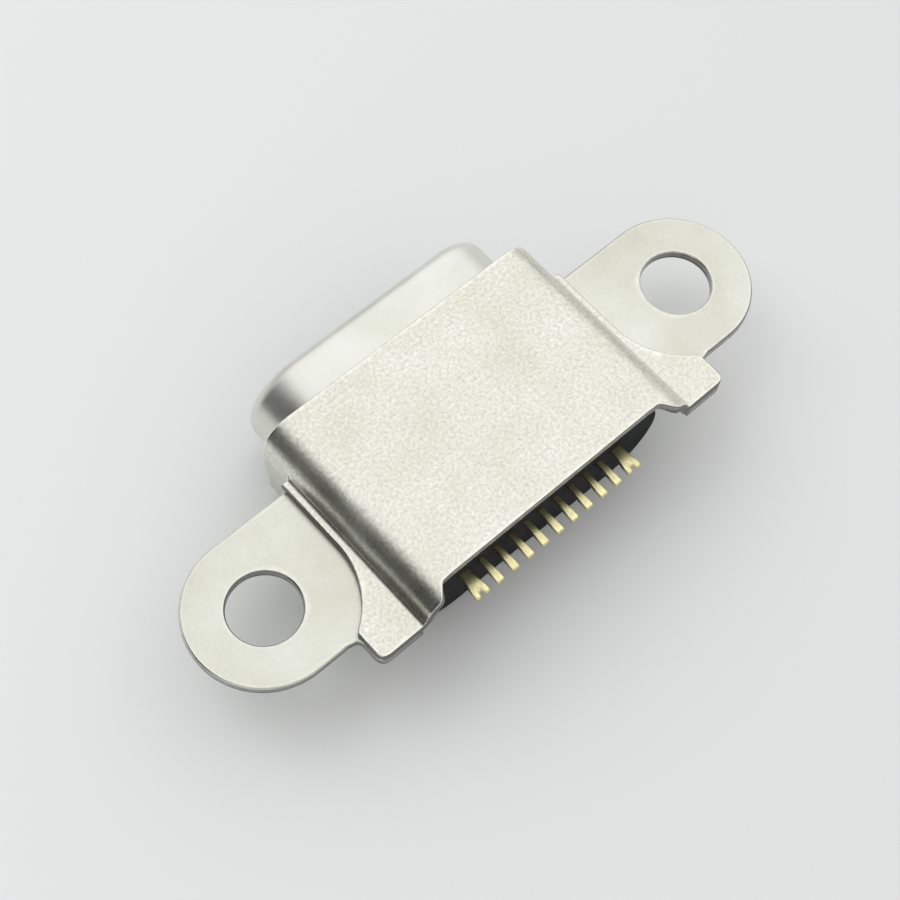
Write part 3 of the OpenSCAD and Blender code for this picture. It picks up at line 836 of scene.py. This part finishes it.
def gold_plating(name, colour, roughness):
    """Gold over nickel: fine drawing grain, with painted shade and a rougher gloss towards a tail's root."""
    grain_low, grain_high = 0.74, 1.1
    root_shade_share, root_shade_tone, root_roughness = 0.7, 0.3, 0.15
    smoother, rougher = 0.05, 0.07
    material, tree, shader, place = material_with_shader(name)
    drawn = add(tree, "ShaderNodeMapping", Scale=(1.0, 0.25, 1.0))
    tree.links.new(place, drawn.inputs["Vector"])
    along = drawn.outputs["Vector"]
    grain = placed(tree, shared("Plating grain", grain_group), along, Speckle=22000.0, Cloud=4000.0)
    root = add(tree, "ShaderNodeAttribute", attribute_name="root").outputs["Fac"]
    face = blend_colours(tree, grain["Speckle"], scaled(colour, grain_low), scaled(colour, grain_high))
    # Painted shade: the colour darkens towards a tail's root, where the cover and insulator shade it.
    root_shade = maths(tree, "MULTIPLY", root, root_shade_share)
    root_shaded = blend_colours(tree, root_shade, face, scaled(colour, root_shade_tone))
    tree.links.new(root_shaded, shader.inputs["Base Color"])
    gloss = ranged(tree, grain["Cloud"], 0, 1, roughness - smoother, roughness + rougher)
    dulled = maths(tree, "ADD", gloss, maths(tree, "MULTIPLY", root, root_roughness))
    tree.links.new(dulled, shader.inputs["Roughness"])
    shader.inputs["Metallic"].default_value = 1.0
    raised(tree, shader, grain["Speckle"], strength=0.25, depth=3e-6)
    return material


def moulded_plastic(name, colour, roughness, shine):
    """Black moulded plastic with a fine spark-eroded skin."""
    grain_low, grain_high, gloss_spread = 0.7, 1.4, 0.08
    material, tree, shader, place = material_with_shader(name)
    grain = placed(tree, shared("Plating grain", grain_group), place, Speckle=14000.0, Cloud=600.0)
    face = blend_colours(tree, grain["Speckle"], scaled(colour, grain_low), scaled(colour, grain_high))
    tree.links.new(face, shader.inputs["Base Color"])
    gloss = ranged(tree, grain["Cloud"], 0, 1, roughness - gloss_spread, roughness + gloss_spread)
    tree.links.new(gloss, shader.inputs["Roughness"])
    shader.inputs["Specular IOR Level"].default_value = shine
    raised(tree, shader, grain["Speckle"], strength=0.3, depth=6e-6)
    return material


def paint_nodes(names, material):
    """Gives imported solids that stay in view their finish."""
    for name in names:
        mesh = frame["nodes"][name].data
        mesh.materials.clear()
        mesh.materials.append(material)


class SOCKET_OT_cover(bpy.types.Operator):
    """Bends the stamped cover from one sheet and gives it its blasted plating"""

    bl_idname = "socket.cover"
    bl_label = "Stamped cover"

    def execute(self, context):
        s, f = sheets(), finishes()
        flat_half, slope, root_x, height = cover_section(s)
        tear_x = flat_half + s.cover_bend * math.sin(slope)
        tear = (tear_x, s.flange_front, float(height(tear_x)))
        cover = piece_from_grids("cover_sheet", cover_grids(s), slits=[tear])
        thicken(cover, s.cover_t, s.cover_edge)
        face = plated_metal(
            "Blasted cover plating", f.cover_tint, f.cover_gloss, speckle=11000.0, contrast=0.3, bump=0.6)
        edge = sheared_metal("Sheared cover edge", f.edge_tint_and_shade, COVER_HIGH.z)
        dress(cover, "top_cover", (face, edge))
        return {"FINISHED"}


class SOCKET_OT_bracket(bpy.types.Operator):
    """Bends the lower bracket with its two ears from one sheet and gives it its plating"""

    bl_idname = "socket.bracket"
    bl_label = "Lower bracket"

    def execute(self, context):
        s, f = sheets(), finishes()
        tear = (s.bracket_half - BRACKET_HIGH.z, s.ear_r, -s.bracket_root)
        bracket = piece_from_grids("bracket_sheet", bracket_grids(s), slits=[tear])
        thicken(bracket, BRACKET_HIGH.z, s.ear_edge)
        face = plated_metal(
            "Satin bracket plating", f.bracket_tint, f.bracket_gloss,
            speckle=12000.0, contrast=0.08, bump=0.3, cloud=330.0, dull=0.8)
        edge = sheared_metal("Sheared bracket edge", f.edge_tint_and_shade, BRACKET_HIGH.z)
        dress(bracket, "lower_bracket", (face, edge))
        return {"FINISHED"}


class SOCKET_OT_nose(bpy.types.Operator):
    """Gives the drawn oval nose its polish"""

    bl_idname = "socket.nose"
    bl_label = "Oval nose"

    def execute(self, context):
        f = finishes()
        polish = plated_metal(
            "Polished nose", f.nose_tint, f.nose_gloss, speckle=14000.0, contrast=0.05, bump=0.25)
        paint_nodes(["front_shell"], polish)
        return {"FINISHED"}


def row_places(members, pitch):
    """X of each member of a centred row; the values of those that aren't members have no meaning."""
    return (np.cumsum(members) - 1 - (members.sum() - 1) / 2) * pitch


class SOCKET_OT_contacts(bpy.types.Operator):
    """Draws the eleven contact strips with their tails and gives them their gold plating"""

    bl_idname = "socket.contacts"
    bl_label = "Contacts"

    def execute(self, context):
        c, f = contact_sizes(), finishes()
        gold = gold_plating("Gold plating", f.gold_tint, f.gold_gloss)
        boxes = [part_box(name) for name in CONTACTS]
        heights = np.array([high.z - low.z for low, high in boxes])
        strip_t = float(heights.min())
        is_main = heights < 2 * strip_t
        from_middle = np.arange(len(CONTACTS)) - (len(CONTACTS) - 1) / 2
        ends = np.abs(from_middle) == from_middle.max()
        further = np.sign(from_middle) * ends * (c.end_pitch - c.tail_pitch)
        tail_x = from_middle * c.tail_pitch + further
        beam_x = np.where(is_main, row_places(is_main, c.main_pitch), row_places(~is_main, c.extra_pitch))
        beam_w = np.where(is_main, c.main_w, c.extra_w)
        for k, name in enumerate(CONTACTS):
            grid = contact_grid(
                c, *boxes[k], strip_t, beam_x[k], beam_w[k], tail_x[k], ends[k], name in DIMPLED)
            strip = piece_from_grids(name.replace("contact", "strip"), [grid], closed=True)
            shade_root(strip, boxes[k][0].y)
            dress(strip, name, (gold,))
        return {"FINISHED"}


class SOCKET_OT_plastics(bpy.types.Operator):
    """Gives the carriers and the rear insulator their black plastic"""

    bl_idname = "socket.plastics"
    bl_label = "Moulded plastic"

    def execute(self, context):
        f = finishes()
        carrier = moulded_plastic("Carrier plastic", f.carrier_tint, roughness=0.45, shine=0.18)
        insulator = moulded_plastic("Insulator plastic", f.insulator_tint, roughness=0.5, shine=0.04)
        paint_nodes(CARRIERS, carrier)
        paint_nodes(["rear_insulator"], insulator)
        return {"FINISHED"}


def lay_floor(colour, half, level):
    """A plain pale floor at the level of the part's underside."""
    grid = columns(np.linspace(-half, half, 3), np.full(3, level), -half, half, 3)
    floor = piece_from_grids("stage_floor", [grid])
    material, _, shader, _ = material_with_shader("Pale floor")
    shader.inputs["Base Color"].default_value = (*colour, 1)
    shader.inputs["Roughness"].default_value = 0.75
    floor.data.materials.append(material)


def light_sky(low, high, bright, dark):
    """Soft studio light that grows with height, with a bright side above and a dark card on the left."""
    world = bpy.data.worlds.new("Studio")
    world.use_nodes = True
    bpy.context.scene.world = world
    tree = world.node_tree
    tree.nodes.clear()
    way = tree.nodes.new("ShaderNodeTexCoord").outputs["Generated"]

    def towards(side):
        made = add(tree, "ShaderNodeVectorMath", operation="DOT_PRODUCT")
        made.inputs[1].default_value = side
        tree.links.new(way, made.inputs[0])
        return made.outputs["Value"]

    rise = ranged(tree, towards((0, 0, 1)), 0, 1, low, high)
    off_middle = maths(tree, "ABSOLUTE", maths(tree, "SUBTRACT", towards((0, 1, 0)), CARD_Y), 0)
    leftward = ranged(tree, towards((-1, 0, 0)), *CARD_EDGE_X, 0, 1)
    card = maths(tree, "MULTIPLY", leftward, ranged(tree, off_middle, *CARD_EDGE_Y, 1, 0))
    shaded = maths(tree, "MULTIPLY", rise, ranged(tree, card, 0, 1, 1, dark))
    total = maths(tree, "ADD", shaded, ranged(tree, towards(BRIGHT_SIDE), *BRIGHT_EDGE, 0, bright))
    shine = tree.nodes.new("ShaderNodeBackground")
    tree.links.new(total, shine.inputs["Strength"])
    output = tree.nodes.new("ShaderNodeOutputWorld")
    tree.links.new(shine.outputs[0], output.inputs["Surface"])


def hang_lamp(name, place, aim, size, radiance):
    """A square lamp that faces a point; its power follows from radiance = power / (pi * area)."""
    lamp = bpy.data.lights.new(name, "AREA")
    lamp.size = size
    lamp.energy = radiance * math.pi * size * size
    holder = bpy.data.objects.new(name, lamp)
    holder.location = place
    turn = np.array(aim) - np.array(place)
    holder.rotation_euler = (
        math.atan2(math.hypot(turn[0], turn[1]), -turn[2]), 0, math.atan2(turn[1], turn[0]) - math.pi / 2)
    holder.visible_camera = False
    holder.visible_glossy = False
    bpy.context.scene.collection.objects.link(holder)


def set_camera(lens):
    """Camera at the photograph's viewing angle."""
    camera = bpy.data.cameras.new("Camera")
    camera.sensor_width = 36
    camera.lens = lens / MM
    camera.clip_start = 1 * MM
    camera.clip_end = 10
    holder = bpy.data.objects.new("Camera", camera)
    holder.location = [MM * part for part in EYE]
    holder.rotation_euler = [math.radians(part) for part in EYE_TURN]
    bpy.context.scene.collection.objects.link(holder)
    bpy.context.scene.camera = holder


class SOCKET_OT_stage(bpy.types.Operator):
    """Lays the floor, lights the sky, hangs the lamp and sets the camera"""

    bl_idname = "socket.stage"
    bl_label = "Stage"

    def execute(self, context):
        g = context.scene.socket_stage
        context.scene.view_settings.view_transform = "Standard"
        lay_floor(g.floor_tint, g.floor_half, CAD_BOX[0].z)
        light_sky(g.sky_low, g.sky_high, g.sky_bright, g.sky_dark)
        hang_lamp("Key lamp", LAMP_PLACE, (0, 0, 0), LAMP_SIZE, g.key_light)
        set_camera(g.lens)
        return {"FINISHED"}


class SOCKET_PT_panel(bpy.types.Panel):
    """Lists the socket's pieces and settings"""

    bl_idname = "SOCKET_PT_panel"
    bl_label = "Connector socket"
    bl_space_type = "VIEW_3D"
    bl_region_type = "UI"
    bl_category = "Socket"

    def draw(self, context):
        layout = self.layout
        for operator in OPERATORS:
            layout.operator(operator.bl_idname)
        for group_name in GROUPS:
            settings = getattr(context.scene, group_name)
            box = layout.box()
            for label in settings.__annotations__:
                box.prop(settings, label)


GROUPS = {"socket_sheets": SocketSheets, "socket_contacts": SocketContacts,
          "socket_finish": SocketFinish, "socket_stage": SocketStage}
OPERATORS = (SOCKET_OT_cover, SOCKET_OT_bracket, SOCKET_OT_nose, SOCKET_OT_contacts,
             SOCKET_OT_plastics, SOCKET_OT_stage)


def register():
    for cls in (*GROUPS.values(), *OPERATORS, SOCKET_PT_panel):
        bpy.utils.register_class(cls)
    for label, cls in GROUPS.items():
        setattr(bpy.types.Scene, label, bpy.props.PointerProperty(type=cls))


def unregister():
    for label in GROUPS:
        delattr(bpy.types.Scene, label)
    for cls in reversed((*GROUPS.values(), *OPERATORS, SOCKET_PT_panel)):
        bpy.utils.unregister_class(cls)


def main():
    register()
    bpy.ops.socket.cover()
    bpy.ops.socket.bracket()
    bpy.ops.socket.nose()
    bpy.ops.socket.contacts()
    bpy.ops.socket.plastics()
    bpy.ops.socket.stage()


if __name__ == "__main__":
    main()
